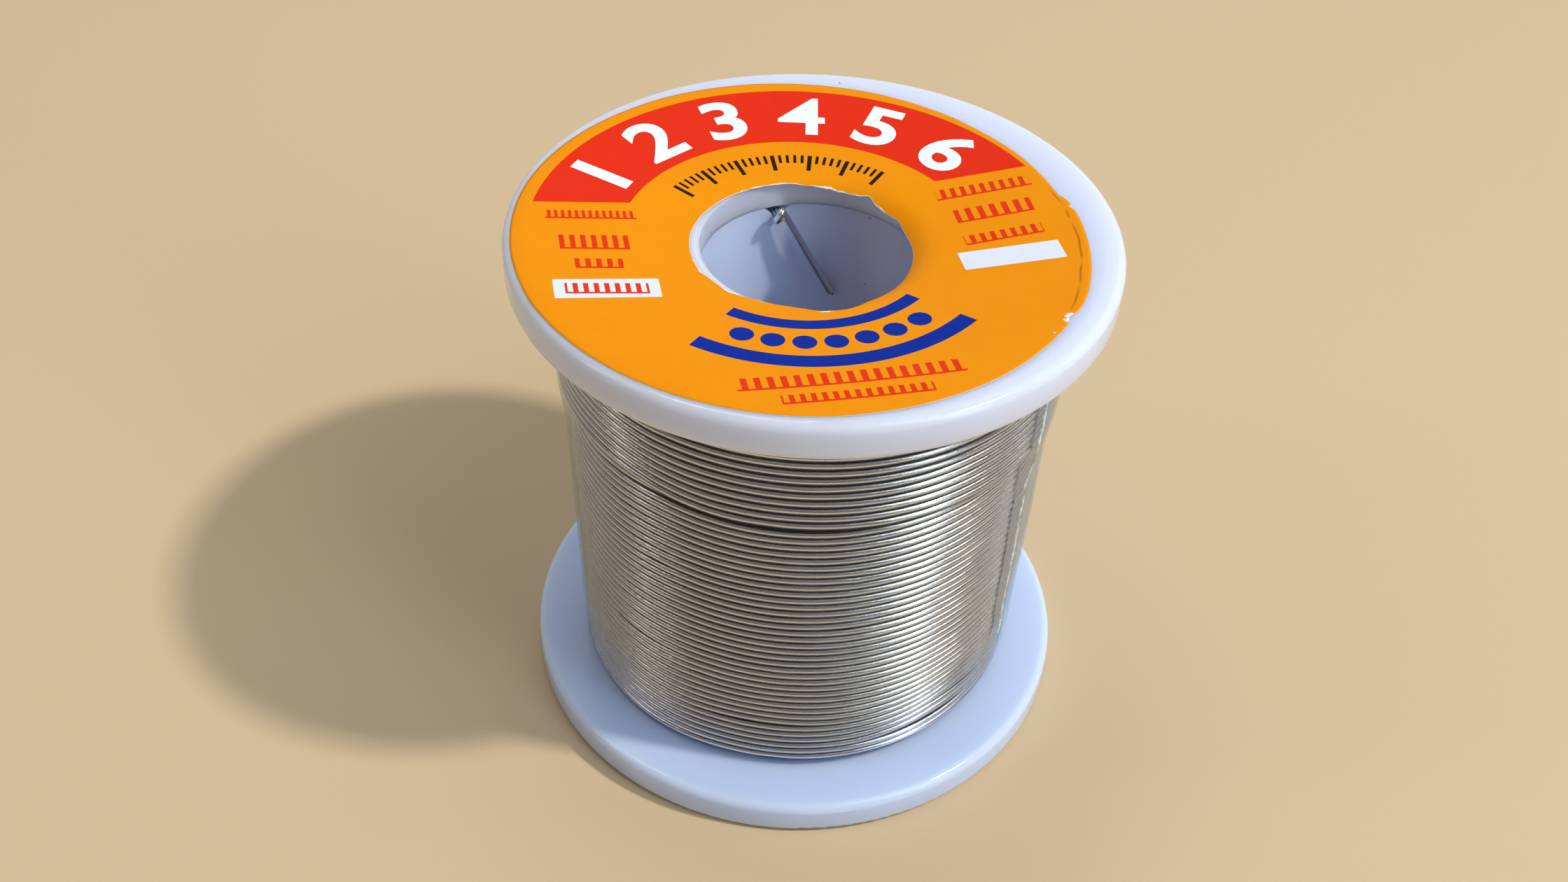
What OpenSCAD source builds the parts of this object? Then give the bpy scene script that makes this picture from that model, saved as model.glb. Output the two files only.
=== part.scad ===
// Reel of flux-cored solder wire: a notched barrel plugged between two round-rimmed
// flanges, a paper label on the upper face, the wire wound on it layer by layer, and
// the clear film wrapped round the wire.
// +Z runs up the bore. The origin is the centre of the lower flange's underside.

/* [Flanges] */
// Diameter of both flanges
flange_d = 56; // [52:1:70]
// Thickness of a flange
flange_t = 3.7; // [3:0.1:5]
// Radius of the rounding along a flange's rim
rim_round = 0.8; // [0.4:0.1:1.2]
// Width of the flat ring that a flange stands on, inside that rounding
rim_flat = 1; // [0.6:0.1:3]
// How far a flange's outer face falls from that ring to the bore
face_dish = 1.8; // [0.2:0.1:2]
// Diameter of the spindle bore in the flanges
bore_d = 20.9; // [16:0.1:22]
// Chamfer along the bore's outer edge
bore_chamfer = 0.36; // [0.1:0.02:0.6]
// Length of the spigot that a flange plugs into the barrel
spigot_l = 1; // [0.8:0.1:2]
// Wall of that spigot
spigot_wall = 0.8; // [0.5:0.05:0.95]
// Radial clearance between the spigot and its socket, and the gap at its tip
spigot_gap = 0.05; // [0.02:0.01:0.1]

/* [Barrel] */
// Clear width between the flanges, which the wire fills
winding_w = 45.8; // [30:0.2:60]
// How much wider the barrel's bore is than the flanges', on the radius
bore_relief = 0.3; // [0.2:0.05:0.5]
// Wall of the barrel
barrel_wall = 1.5; // [1.3:0.1:3]
// Width that the wire notch has at the spigot's tip
notch_w = 2.8; // [2.4:0.1:5]
// Depth of the notch below the spigot's tip
notch_depth = 1.5; // [1.4:0.1:3]
// Direction of the notch, counted from +X
notch_angle = 110; // [0:1:359]

/* [Wire] */
// Diameter of the wire
wire_d = 0.8; // [0.6:0.05:0.9]
// Diameter of the flux in the wire's core
core_d = 0.26; // [0.2:0.02:0.36]
// Clearance between the flux and the bore of the tail's wire
core_gap = 0.02; // [0.01:0.01:0.04]
// Least gap between neighbouring turns of a layer
turn_gap = 0.07; // [0.03:0.01:0.2]
// Gap left between a turn and the two turns that it nests on
nest_gap = 0.02; // [0.01:0.01:0.05]
// Gap between the winding and the plastic that it touches
seat_gap = 0.05; // [0.02:0.01:0.1]
// Number of full layers
layers = 15; // [6:1:16]
// How much larger the winding's radius is at the top than at the bottom
top_swell = 0.55; // [0:0.05:0.8]
// Turns of the last layer, which only covers the top of the winding
band_turns = 12; // [4:1:20]
// Part of a turn that the band's last, cut turn covers, in degrees
band_last_turn = 310; // [200:5:345]
// Direction of the wire's outer, cut end, counted from +X
band_end_angle = 66; // [0:1:359]

/* [Wire start] */
// Length of the straight part of the tail that hangs in the bore
tail_l = 10.8; // [6:0.2:16]
// Lean of that part, sideways along the barrel's wall
tail_lean = 29; // [0:1:40]
// Clearance between the tail and the barrel's wall
tail_gap = 0.2; // [0.1:0.05:0.5]

/* [Label] */
// White border that a centred label would leave on the flange's face
label_margin = 2; // [2:0.1:6]
// How far the label is stuck on off-centre in X
label_shift_x = -1.25; // [-1.3:0.05:1.3]
// How far the label is stuck on off-centre in Y
label_shift_y = -0.6; // [-0.8:0.05:0.8]
// Thickness of the label's paper
label_t = 0.1; // [0.06:0.02:0.2]
// Gap between the bore's chamfer and the label's hole
label_hole_gap = 0.1; // [0.05:0.05:1]

/* [Film] */
// Thickness of the film
film_t = 0.08; // [0.04:0.01:0.15]
// Gap between the film and the turns that it lies on
film_gap = 0.08; // [0.05:0.01:0.2]
// Bare height of winding below the film's lower edge
film_bare = 2.2; // [0.5:0.1:8]
// Height over which the film slopes in below the band
film_slope = 5; // [3:0.5:10]
// How far the film stands off the turns at the foot of that slope
film_stand_off = 0.45; // [0.1:0.05:0.6]

/* [Hidden] */
$fn = 96;
wire_fn = 24;
tail_sides = 10;
through = 1;
flange_r = flange_d / 2;
bore_r = bore_d / 2;
wire_r = wire_d / 2;
dish_r = flange_r - rim_round - rim_flat;
barrel_bore_r = bore_r + bore_relief;
barrel_r = barrel_bore_r + barrel_wall;
socket_r = bore_r + spigot_wall + spigot_gap;
socket_depth = spigot_l + spigot_gap;

// Heights of the flanges' faces
barrel_low = flange_t;
barrel_top = flange_t + winding_w;
reel_h = winding_w + 2 * flange_t;

// How far a flange's outer face lies inside its standing ring, at radius r
function dish_at(r) = max(0, face_dish * (dish_r - r) / (dish_r - bore_r));

// The turns of a layer fill the width between the flanges
wound_h = winding_w - 2 * seat_gap - wire_d;
turns = floor(wound_h / (wire_d + turn_gap)) + 1;
pitch = wound_h / (turns - 1);
first_turn_z = barrel_low + seat_gap + wire_r;
layer_step = sqrt(pow(wire_d + nest_gap, 2) - pow(pitch / 2, 2));
layer_swell = top_swell / (layers - 1);

// Height of turn k of the outermost full layer
function turn_z(k) = first_turn_z + k * pitch;
// Height of turn k of the band, counted down from the top, nested between two of those
function band_turn_z(k) = turn_z(turns - 1 - k) + pitch / 2;
// Radius of the centreline of layer i at height z
function layer_r(i, z) =
    barrel_r + seat_gap + wire_r
    + (i - 1) * (layer_step + layer_swell * (z - barrel_low) / winding_w);
// Radius of the inner side of layer i at height z
function layer_inside(i, z) = layer_r(i, z) - wire_r;
// Radius of the outer side of layer i at height z
function layer_outside(i, z) = layer_r(i, z) + wire_r;

sleeve_low = barrel_low + seat_gap;
sleeve_top = barrel_top - seat_gap;
band_layer = layers + 1;
band_edge_z = band_turn_z(band_turns) - wire_r;

label_r = flange_r - label_margin;
label_hole_r = bore_r + bore_chamfer + label_hole_gap;

// The notch widens on above the spigot's tip, past the barrel's end
notch_half_angle = atan(notch_w / 2 / notch_depth);
notch_point_z = barrel_top - spigot_l - notch_depth;
notch_cut_h = barrel_top - notch_point_z + through;
notch_cut_w = 2 * notch_cut_h * tan(notch_half_angle);

// The tail passes through the notch just above its point, and lies on the barrel's wall
tail_seat_z = notch_point_z + (wire_r + tail_gap / 2) / sin(notch_half_angle);
tail_wall_r = barrel_bore_r - wire_r - tail_gap;
// The curl that the tail makes inside the notch, in wire diameters from its place on the
// wall: sideways along the wall, in towards the axis, and up
curl = [
    [0, 0, -0.1],
    [-0.35, 0.7, -0.35],
    [-0.45, 1.25, -0.2],
    [-0.1, 1.6, 0.15],
    [0.35, 1.4, 0.2],
    [0.8, 1.05, -0.2]
];

layer_names = [for (i = [1 : layers]) str("wire_layer_", i < 10 ? "0" : "", i)];

// Half section of a flange, with its standing ring at y = 0 and its spigot upwards
module flange_section() {
    polygon([
        [bore_r, face_dish + bore_chamfer],
        [bore_r + bore_chamfer, dish_at(bore_r + bore_chamfer)],
        [dish_r, 0],
        [flange_r - rim_round, 0],
        [flange_r - rim_round, flange_t],
        [bore_r + spigot_wall, flange_t],
        [bore_r + spigot_wall, flange_t + spigot_l],
        [bore_r, flange_t + spigot_l]
    ]);
    translate([flange_r - 2 * rim_round, rim_round])
        square([2 * rim_round, flange_t - 2 * rim_round]);
    for (y = [rim_round, flange_t - rim_round])
        translate([flange_r - rim_round, y])
            circle(r = rim_round);
}

module lower_flange() {
    color([0.85, 0.88, 0.94])
        rotate_extrude()
            flange_section();
}

module upper_flange() {
    color([0.85, 0.88, 0.94])
        translate([0, 0, reel_h])
            mirror([0, 0, 1])
                rotate_extrude()
                    flange_section();
}

// Half section of the barrel, with a socket for a spigot at each end
module barrel_section() {
    difference() {
        translate([barrel_bore_r, barrel_low])
            square([barrel_wall, winding_w]);
        translate([barrel_bore_r - through, barrel_low - through])
            square([socket_r - barrel_bore_r + through, socket_depth + through]);
        translate([barrel_bore_r - through, barrel_top - socket_depth])
            square([socket_r - barrel_bore_r + through, socket_depth + through]);
    }
}

// Wedge that cuts the wire notch, point down, through one side of the barrel
module notch_wedge() {
    rotate([0, 0, notch_angle])
        translate([bore_r, 0, notch_point_z])
            rotate([90, 0, 90])
                linear_extrude(barrel_r - bore_r + through)
                    polygon([
                        [0, 0],
                        [notch_cut_w / 2, notch_cut_h],
                        [-notch_cut_w / 2, notch_cut_h]
                    ]);
}

module hub_barrel() {
    color([0.83, 0.86, 0.93])
        difference() {
            rotate_extrude()
                barrel_section();
            notch_wedge();
        }
}

// The label follows the dished face, and its outline is cut off-centre from that skin
module face_label() {
    face = [
        [label_hole_r, reel_h - dish_at(label_hole_r)],
        [dish_r, reel_h],
        [flange_r, reel_h]
    ];
    color([1, 0.6, 0.05])
        intersection() {
            rotate_extrude()
                polygon(concat(face, [for (k = [2 : -1 : 0]) face[k] + [0, label_t]]));
            translate([label_shift_x, label_shift_y, reel_h - face_dish - through])
                cylinder(r = label_r, h = face_dish + label_t + 2 * through);
        }
}

// Inner layer i, as the sleeve between its own turns' inner side and the next layer's
module layer_sleeve(i) {
    color([0.62, 0.62, 0.64])
        rotate_extrude()
            polygon([
                [layer_inside(i, sleeve_low), sleeve_low],
                [layer_inside(i + 1, sleeve_low) - nest_gap, sleeve_low],
                [layer_inside(i + 1, sleeve_top) - nest_gap, sleeve_top],
                [layer_inside(i, sleeve_top), sleeve_top]
            ]);
}

// One turn of layer i at height z, over the given part of a circle
module turn(i, z, part = 360) {
    translate([0, 0, z])
        rotate_extrude(angle = part)
            translate([layer_r(i, z), 0])
                circle(r = wire_r, $fn = wire_fn);
}

// Outermost full layer, turn by turn
module layer_turns() {
    color([0.72, 0.72, 0.74])
        for (k = [0 : turns - 1])
            turn(layers, turn_z(k));
}

module wire_layer(i) {
    if (i < layers)
        layer_sleeve(i);
    else
        layer_turns();
}

// Turns of the last layer, nested on the top of the full ones; the lowest is cut off
module wire_top_band() {
    color([0.75, 0.75, 0.77]) {
        for (k = [1 : band_turns - 1])
            turn(band_layer, band_turn_z(k));
        rotate([0, 0, band_end_angle - band_last_turn])
            turn(band_layer, band_turn_z(band_turns), band_last_turn);
    }
}

// Point of the tail's centreline: sideways along the wall from the notch, in towards the
// axis from its place on the wall, and up from its seat in the notch
function wall_point(aside, inward, up) =
    let (r = tail_wall_r - inward, a = notch_angle - aside / tail_wall_r * 180 / PI)
    [r * cos(a), r * sin(a), tail_seat_z + up];

// The tail's route: in through the notch, round the curl, and straight to its cut end
tail_foot = wall_point(curl[5][0] * wire_d, curl[5][1] * wire_d, curl[5][2] * wire_d);
tail_tip = wall_point(
    curl[5][0] * wire_d + tail_l * sin(tail_lean), 0,
    curl[5][2] * wire_d - tail_l * cos(tail_lean)
);
tail_points = concat(
    [for (r = [barrel_r, (barrel_r + barrel_bore_r) / 2, barrel_bore_r])
        wall_point(0, tail_wall_r - r, 0)],
    [for (c = curl) wall_point(c[0] * wire_d, c[1] * wire_d, c[2] * wire_d)],
    [for (t = [0.25, 0.5, 0.75, 1]) tail_foot + t * (tail_tip - tail_foot)]
);

// Smooth curve through the points p, with n steps between neighbours
function curve(p, n) = [
    for (i = [0 : len(p) - 2], k = [0 : n - 1]) let (
        t = k / n,
        a = p[max(i - 1, 0)],
        b = p[i],
        c = p[i + 1],
        d = p[min(i + 2, len(p) - 1)]
    ) (2 * b + (c - a) * t + (2 * a - 5 * b + 4 * c - d) * t * t
        + (3 * b - a - 3 * c + d) * t * t * t) / 2,
    p[len(p) - 1]
];
function unit(v) = v / norm(v);
function direction(p, i) = unit(p[min(i + 1, len(p) - 1)] - p[max(i - 1, 0)]);
// A side direction at each point, carried along the curve without twist
function sides(p, i = 0, last = [0, 0, 1]) =
    let (d = direction(p, i), s = unit(last - (last * d) * d))
    i == len(p) - 1 ? [s] : concat([s], sides(p, i + 1, s));
// Rings of n points at radius r round the curve p
function rings(p, r, n) =
    let (s = sides(p))
    [for (i = [0 : len(p) - 1], k = [0 : n - 1])
        let (d = direction(p, i), a = 360 * k / n)
        p[i] + r * (cos(a) * s[i] + sin(a) * cross(d, s[i]))];
// Quads between the rings from number a on, each of n points, turned inward if asked
function skin(count, n, a, inward) = [
    for (i = [0 : count - 2], k = [0 : n - 1])
        let (j = (k + 1) % n, q = a + i * n)
        inward ? [q + k, q + j, q + n + j, q + n + k] : [q + k, q + n + k, q + n + j, q + j]
];

tail_curve = curve(tail_points, 4);

// The cored wire is a tube, and its flux a rod along the same curve
module wire_start_tail() {
    count = len(tail_curve);
    n = tail_sides;
    bore = count * n;
    last = (count - 1) * n;
    color([0.7, 0.7, 0.72])
        polyhedron(
            concat(rings(tail_curve, wire_r, n), rings(tail_curve, core_d / 2 + core_gap, n)),
            concat(
                skin(count, n, 0, false),
                skin(count, n, bore, true),
                [for (k = [0 : n - 1])
                    let (j = (k + 1) % n) [k, j, bore + j, bore + k]],
                [for (k = [0 : n - 1])
                    let (j = (k + 1) % n) [last + k, bore + last + k, bore + last + j, last + j]]
            )
        );
}

module tail_flux_core() {
    count = len(tail_curve);
    n = tail_sides;
    color([0.85, 0.7, 0.35])
        polyhedron(
            rings(tail_curve, core_d / 2, n),
            concat(
                skin(count, n, 0, false),
                [[for (k = [0 : n - 1]) k]],
                [[for (k = [0 : n - 1]) count * n - 1 - k]]
            )
        );
}

// The film hangs from the band, slopes in below it and lies on the lower turns
module film_wrap() {
    top_z = barrel_top - 2 * seat_gap;
    slope_z = band_edge_z - film_slope;
    low_z = barrel_low + film_bare;
    inner = [
        [layer_outside(layers, low_z) + film_gap, low_z],
        [layer_outside(layers, slope_z) + film_stand_off, slope_z],
        [layer_outside(band_layer, band_edge_z) + film_gap, band_edge_z],
        [layer_outside(band_layer, top_z) + film_gap, top_z]
    ];
    color([0.8, 0.9, 0.88, 0.3])
        rotate_extrude()
            polygon(concat(inner, [for (k = [3 : -1 : 0]) inner[k] + [film_t, 0]]));
}

lower_flange();
hub_barrel();
upper_flange();
face_label();
for (i = [1 : layers])
    wire_layer(i);
wire_top_band();
wire_start_tail();
tail_flux_core();
film_wrap();
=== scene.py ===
"""Reel of cored solder wire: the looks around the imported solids.

Sizes are written in millimetres, in the solids' own frame: the origin is the centre of
the ring that the reel stands on, and +Z runs up along the bore.
"""
import math
import random

import bpy
from mathutils import Matrix, Vector, noise


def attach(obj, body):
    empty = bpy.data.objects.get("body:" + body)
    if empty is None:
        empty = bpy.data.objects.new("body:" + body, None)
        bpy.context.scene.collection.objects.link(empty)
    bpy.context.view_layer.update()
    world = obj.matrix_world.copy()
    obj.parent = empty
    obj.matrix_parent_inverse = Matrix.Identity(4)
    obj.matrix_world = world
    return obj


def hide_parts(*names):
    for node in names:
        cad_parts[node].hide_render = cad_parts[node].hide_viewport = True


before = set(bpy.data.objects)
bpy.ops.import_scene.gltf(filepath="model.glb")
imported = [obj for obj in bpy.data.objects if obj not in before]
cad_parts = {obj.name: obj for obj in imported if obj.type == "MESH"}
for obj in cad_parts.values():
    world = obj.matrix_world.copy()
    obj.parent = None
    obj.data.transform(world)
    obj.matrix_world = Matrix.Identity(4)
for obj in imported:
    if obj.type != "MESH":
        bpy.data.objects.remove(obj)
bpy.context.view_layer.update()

MM = 0.001
BODY = "root"

# ---------------------------------------------------------------- sizes of the reel, mm
REEL_H = 53.2
DISH_R = 26.2
FACE_DISH = 1.8
BORE_R = 10.45
BORE_EDGE_R = 10.81

# ---------------------------------------------------------------- sizes of the winding
WIRE_R = 0.388
CORE_R = 0.13
BARREL_R = 12.25
BARREL_BORE_R = 10.75
BARREL_LOW = 3.7
WINDING_W = 45.8
TURNS = 52
FIRST_TURN_Z = 4.15
PITCH = 44.9 / 51
LAYERS = 15
LAYER_ONE_R = 12.7
LAYER_STEP = 0.69183
LAYER_SWELL = 0.55 / 14
LOWEST_TURN_Z, HIGHEST_TURN_Z = 4.12, 49.05
BAND_TURNS = 12
BAND_TOP_Z = 49.08
BAND_END = 66         # direction of the wire's outer end
BAND_LAST_TURN = 310  # degrees of the band's last, unfinished turn

# ---------------------------------------------------------------- the label
LABEL_X, LABEL_Y = -1.25, -0.6
LABEL_T = 0.09
LABEL_TOP_Z = 53.295
PRINT_TURN = 12.5     # degrees by which the print is turned on the reel


def turn_z(k):
    """Height of turn k of the outermost full layer."""
    return FIRST_TURN_Z + k * PITCH


def band_z(k):
    """Height of turn k of the proud band, counted down from the top."""
    return turn_z(TURNS - 1 - k) + PITCH / 2


def layer_r(i, z):
    """Radius of the centreline of wire layer i at height z."""
    return LAYER_ONE_R + (i - 1) * (LAYER_STEP + LAYER_SWELL * (z - BARREL_LOW) / WINDING_W)


def face_z(r):
    """Height of the upper flange's dished outer face at radius r."""
    return REEL_H - max(0.0, FACE_DISH * (DISH_R - r) / (DISH_R - BORE_R))


def smooth(t):
    """0 before t = 0, 1 after t = 1, and an easy curve between."""
    t = min(1.0, max(0.0, t))
    return t * t * (3 - 2 * t)


def bump(x, centre, width):
    """1 at the centre, falling to 0 at half a width either side."""
    t = abs(x - centre) / (width / 2)
    return 0.0 if t >= 1 else 0.5 + 0.5 * math.cos(math.pi * t)


def apart(a, b):
    """Signed angle from b to a, in -180 to 180 degrees."""
    return (a - b + 180) % 360 - 180


def polar(r, degrees, z):
    """The point at a distance and direction from the bore's axis, at height z."""
    a = math.radians(degrees)
    return Vector((r * math.cos(a), r * math.sin(a), z))


def along(table, angle):
    """Value at an angle from a closed table of (degrees, value), in rising order."""
    angle = (angle + 180) % 360 - 180
    last = (table[-1][0] - 360, table[-1][1])
    for (a0, v0), (a1, v1) in zip([last] + table, table + [(table[0][0] + 360, table[0][1])]):
        if a0 <= angle <= a1:
            return v0 + (v1 - v0) * (angle - a0) / (a1 - a0)
    return table[-1][1]


# ============================================================== making meshes
def placed(name, data):
    """A new object of the scene, made from its data."""
    made = bpy.data.objects.new(name, data)
    bpy.context.scene.collection.objects.link(made)
    return made


def piece(name, points, faces, materials, slots=None, flat=()):
    """A mesh object from points in millimetres, riding on the reel."""
    mesh = bpy.data.meshes.new(name)
    mesh.from_pydata([tuple(c * MM for c in p) for p in points], [], faces)
    for m in materials:
        mesh.materials.append(m.material)
    slots = slots or [0] * len(faces)
    mesh.polygons.foreach_set("material_index", slots)
    mesh.polygons.foreach_set("use_smooth", [s not in flat for s in slots])
    mesh.validate()
    mesh.update()
    made = placed(name, mesh)
    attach(made, BODY)
    return made


def strip(a, b, wide, closed=True):
    """Quads between two rows of points that start at a and b."""
    steps = range(wide if closed else wide - 1)
    return [(a + s, a + (s + 1) % wide, b + (s + 1) % wide, b + s) for s in steps]


def grid(start, rows, wide, closed=True):
    """Quads between each row of points and the next, from the point at start."""
    faces = []
    for n in range(rows - 1):
        faces += strip(start + n * wide, start + (n + 1) * wide, wide, closed)
    return faces


def flipped(faces):
    """The same faces, seen from their other side."""
    return [tuple(reversed(f)) for f in faces]


def frames_along(route):
    """(point, sideways, upward) along a route, turned as little as possible."""
    out, side = [], None
    for i, p in enumerate(route):
        ahead = (route[min(i + 1, len(route) - 1)] - route[max(i - 1, 0)]).normalized()
        if side is None:
            side = ahead.orthogonal().normalized()
        side = (side - ahead * side.dot(ahead)).normalized()
        out.append((p, side, ahead.cross(side)))
    return out


def smooth_route(points, steps):
    """A smooth curve through the points."""
    out = []
    for i in range(len(points) - 1):
        a, b = points[max(i - 1, 0)], points[i]
        c, d = points[i + 1], points[min(i + 2, len(points) - 1)]
        for k in range(steps):
            t = k / steps
            out.append(
                0.5 * (2 * b + (c - a) * t + (2 * a - 5 * b + 4 * c - d) * t * t
                       + (3 * b - a - 3 * c + d) * t ** 3)
            )
    return out + [points[-1]]


# ============================================================== shader maths
class Value:
    """A socket of a material's node tree, on which sums are written as plain Python."""

    def __init__(self, shader, socket):
        self.shader, self.socket = shader, socket

    def maths(self, operation, *others):
        values = {0: self, **{n + 1: v for n, v in enumerate(others)}}
        return self.shader.node("Math", {"operation": operation}, values)

    def turned(self, operation, other):
        return self.shader.node("Math", {"operation": operation}, {0: other, 1: self})

    def __add__(self, other):
        return self.maths("ADD", other)

    def __sub__(self, other):
        return self.maths("SUBTRACT", other)

    def __rsub__(self, other):
        return self.turned("SUBTRACT", other)

    def __mul__(self, other):
        return self.maths("MULTIPLY", other)

    def __truediv__(self, other):
        return self.maths("DIVIDE", other)

    def __pow__(self, other):
        return self.maths("POWER", other)

    def __abs__(self):
        return self.maths("ABSOLUTE")

    __radd__, __rmul__ = __add__, __mul__

    def least(self, other):
        return self.maths("MINIMUM", other)

    def most(self, other):
        return self.maths("MAXIMUM", other)

    def between(self, low, high, edge):
        """1 where the value lies from low to high, with soft edges."""
        return self.above(low, edge) * (1 - self.above(high, edge))

    def within(self, reach, edge):
        """1 where the value lies no further than that from 0."""
        return 1 - abs(self).above(reach, edge)

    def above(self, level, edge):
        """0 below the level and 1 above it, over an edge that wide."""
        return self.shader.node(
            "MapRange", {"interpolation_type": "SMOOTHSTEP"},
            {0: self, 1: level - edge / 2, 2: level + edge / 2},
        )

    def scaled(self, low, high, to_low, to_high):
        """The value carried over from one span of numbers to another, and held at its ends."""
        return self.shader.node(
            "MapRange", {}, {0: self, 1: low, 2: high, 3: to_low, 4: to_high}
        )


class Shader:
    """A material or the world's light, and the calls that add its nodes."""

    def __init__(self, name, owners=None, output="OutputMaterial"):
        owners = bpy.data.materials if owners is None else owners
        self.material = owners.new(name)
        self.material.use_nodes = True
        self.tree = self.material.node_tree
        self.tree.nodes.clear()
        self.output = self.tree.nodes.new("ShaderNode" + output)

    def node(self, kind, settings=None, inputs=None, out=0):
        """Any node: its settings first, then the values or links of its sockets."""
        made = self.tree.nodes.new("ShaderNode" + kind)
        for key, value in (settings or {}).items():
            setattr(made, key, value)
        for key, value in (inputs or {}).items():
            if isinstance(value, Value):
                self.tree.links.new(value.socket, made.inputs[key])
            else:
                made.inputs[key].default_value = value
        return Value(self, made.outputs[out])

    def place(self):
        """Position on the reel in metres."""
        return self.node("TexCoord", out="Object")

    def axes(self, vector):
        """The three numbers of a vector."""
        split = self.node("SeparateXYZ", {}, {0: vector}).socket.node
        return [Value(self, split.outputs[n]) for n in range(3)]

    def grain(self, scale, detail=2.0, rough=0.5, stretch=(1, 1, 1), shift=(0, 0, 0), warp=0.0):
        """Noise from 0 to 1, in waves per metre, stretched along the axes."""
        at = self.node(
            "Mapping", {}, {"Vector": self.place(), "Location": shift, "Scale": stretch}
        )
        return self.node(
            "TexNoise", {},
            {"Vector": at, "Scale": scale, "Detail": detail, "Roughness": rough, "Distortion": warp},
        )

    def specks(self, scale, size, shift=(0, 0, 0)):
        """1 inside small dots strewn at random, 0 elsewhere."""
        at = self.node("Mapping", {}, {"Vector": self.place(), "Location": shift})
        far = self.node("TexVoronoi", {}, {"Vector": at, "Scale": scale}, out="Distance")
        return 1 - far.above(size, size * 0.6)

    def mix(self, factor, a, b):
        """Colour a where the factor is 0, colour b where it is 1."""
        return self.node(
            "Mix", {"data_type": "RGBA"}, {"Factor": factor, 6: a, 7: b}, out=2
        )

    def bumps(self, height, distance):
        """Fine relief: its height from 0 to 1, and what 1 is worth in metres."""
        return self.node("Bump", {}, {"Height": height, "Distance": distance})

    def body(self, **sockets):
        """A surface, with its sockets' names written with underscores."""
        inputs = {key.replace("_", " "): value for key, value in sockets.items()}
        return self.node("BsdfPrincipled", {}, inputs)

    def finish(self, surface):
        """The material itself, once its surface is joined up."""
        self.tree.links.new(surface.socket, self.output.inputs["Surface"])
        return self


def rgb(red, green, blue):
    """A colour as it is read from 0 to 255, made linear."""
    def linear(c):
        c /= 255
        return c / 12.92 if c <= 0.04045 else ((c + 0.055) / 1.055) ** 2.4
    return (linear(red), linear(green), linear(blue), 1.0)


def milky_plastic(name, dark, light, glow, depth, painted_bore_side=None):
    """Bluish white polypropylene, faintly translucent, with specks and light scuffs.

    Light goes as deep into it as depth, in metres. painted_bore_side is a colour painted
    over the bore's wall, strongest on its right-hand side: painted light and shade for how the light falls
    across the bore.
    """
    s = Shader(name)
    cloud = s.grain(60, 3)
    speck = s.specks(230, 0.035).most(s.specks(120, 0.02, (0.3, 0.1, 0.2)))
    scuff = s.grain(900, 2, 0.6, (1, 0.12, 1), warp=0.4).above(0.72, 0.06)
    tone = s.mix(cloud, dark, light)
    if painted_bore_side:
        # painted light and shade: inside the bore the colour shifts from left to right towards the given
        # tone, standing in for how the light falls across the bore
        x, y, _ = s.axes(s.place())
        inside = 1 - ((x * x + y * y) ** 0.5 / MM).above(BORE_R + 0.25, 0.4)
        tone = s.mix(inside * (x / MM).scaled(-7, 5, 0, 1), tone, painted_bore_side)
    tone = s.mix(speck * 0.55, tone, rgb(112, 114, 124))
    peel = s.grain(500, 2) * 0.1 + s.grain(70, 2) * 0.8 + scuff * 0.1
    return s.finish(s.body(
        Base_Color=tone,
        Roughness=s.grain(140, 3).scaled(0.3, 0.7, 0.1, 0.15) + scuff * 0.1,
        Normal=s.bumps(peel, 0.00004),
        IOR=1.49,
        Subsurface_Weight=glow,
        Subsurface_Radius=(0.9, 0.95, 1.0),
        Subsurface_Scale=depth,
    ))


def solder(name, streaks, surface_r=None):
    """Bright drawn tin and lead wire: fine lines along it, small dents, a dull bloom.

    Where wire lies turn beside turn, surface_r(z) is the winding's outer radius; there the wire gets
    painted shade, dark and duller, down in the grooves and on its undersides, and a painted
    reflection, a pale bluish band where its side faces level.
    """
    s = Shader(name)
    fine = s.grain(1.0, 3, 0.6, (260, 260, 9000))
    long = s.grain(1.0, 2, 0.5, (90, 90, 2600), (3, 1, 2))
    dull = s.grain(75, 3, 0.6)
    pits = s.grain(1400, 2, 0.6)
    tone = s.mix(long, rgb(192, 184, 180), rgb(210, 203, 199))
    tone = s.mix(dull.above(0.62, 0.2) * 0.35, tone, rgb(154, 155, 160))
    rough = fine.scaled(0.25, 0.75, 0.15, 0.25) + dull.above(0.58, 0.25) * 0.08
    if not surface_r:
        tone = s.mix(0.6, tone, rgb(236, 238, 244))
        rough = rough * 0.6
    else:
        x, y, z = s.axes(s.place())
        upright = s.axes(s.node("TexCoord", out="Normal"))[2]
        depth = surface_r(z / MM) - (x * x + y * y) ** 0.5 / MM
        # painted shade: down in the grooves and on the wire's underside, where the turns shade each other,
        # the wire is painted nearly black and made duller
        painted_groove_shade = depth.above(0.23, 0.24).most((0 - upright).above(0.05, 0.26))
        # painted reflection: where the wire's side faces level it is painted pale and bluish, standing in
        # for the light it reflects
        tone = s.mix(upright.between(-0.2, 0.34, 0.2) * 0.85, tone, rgb(224, 234, 255))
        tone = s.mix(painted_groove_shade * 0.86, tone, rgb(40, 36, 36))
        rough = rough + painted_groove_shade * 0.15
    return s.finish(s.body(
        Base_Color=tone,
        Metallic=1.0,
        Roughness=rough,
        Normal=s.bumps((fine * 0.5 + pits * 0.6) * streaks, 0.00003),
    ))


def rosin():
    """Amber flux in the wire's core."""
    s = Shader("rosin_flux")
    return s.finish(s.body(
        Base_Color=s.mix(s.grain(3000, 2), rgb(150, 104, 44), rgb(196, 150, 78)),
        Roughness=s.grain(2500, 2).scaled(0.3, 0.7, 0.25, 0.5),
    ))


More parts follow.
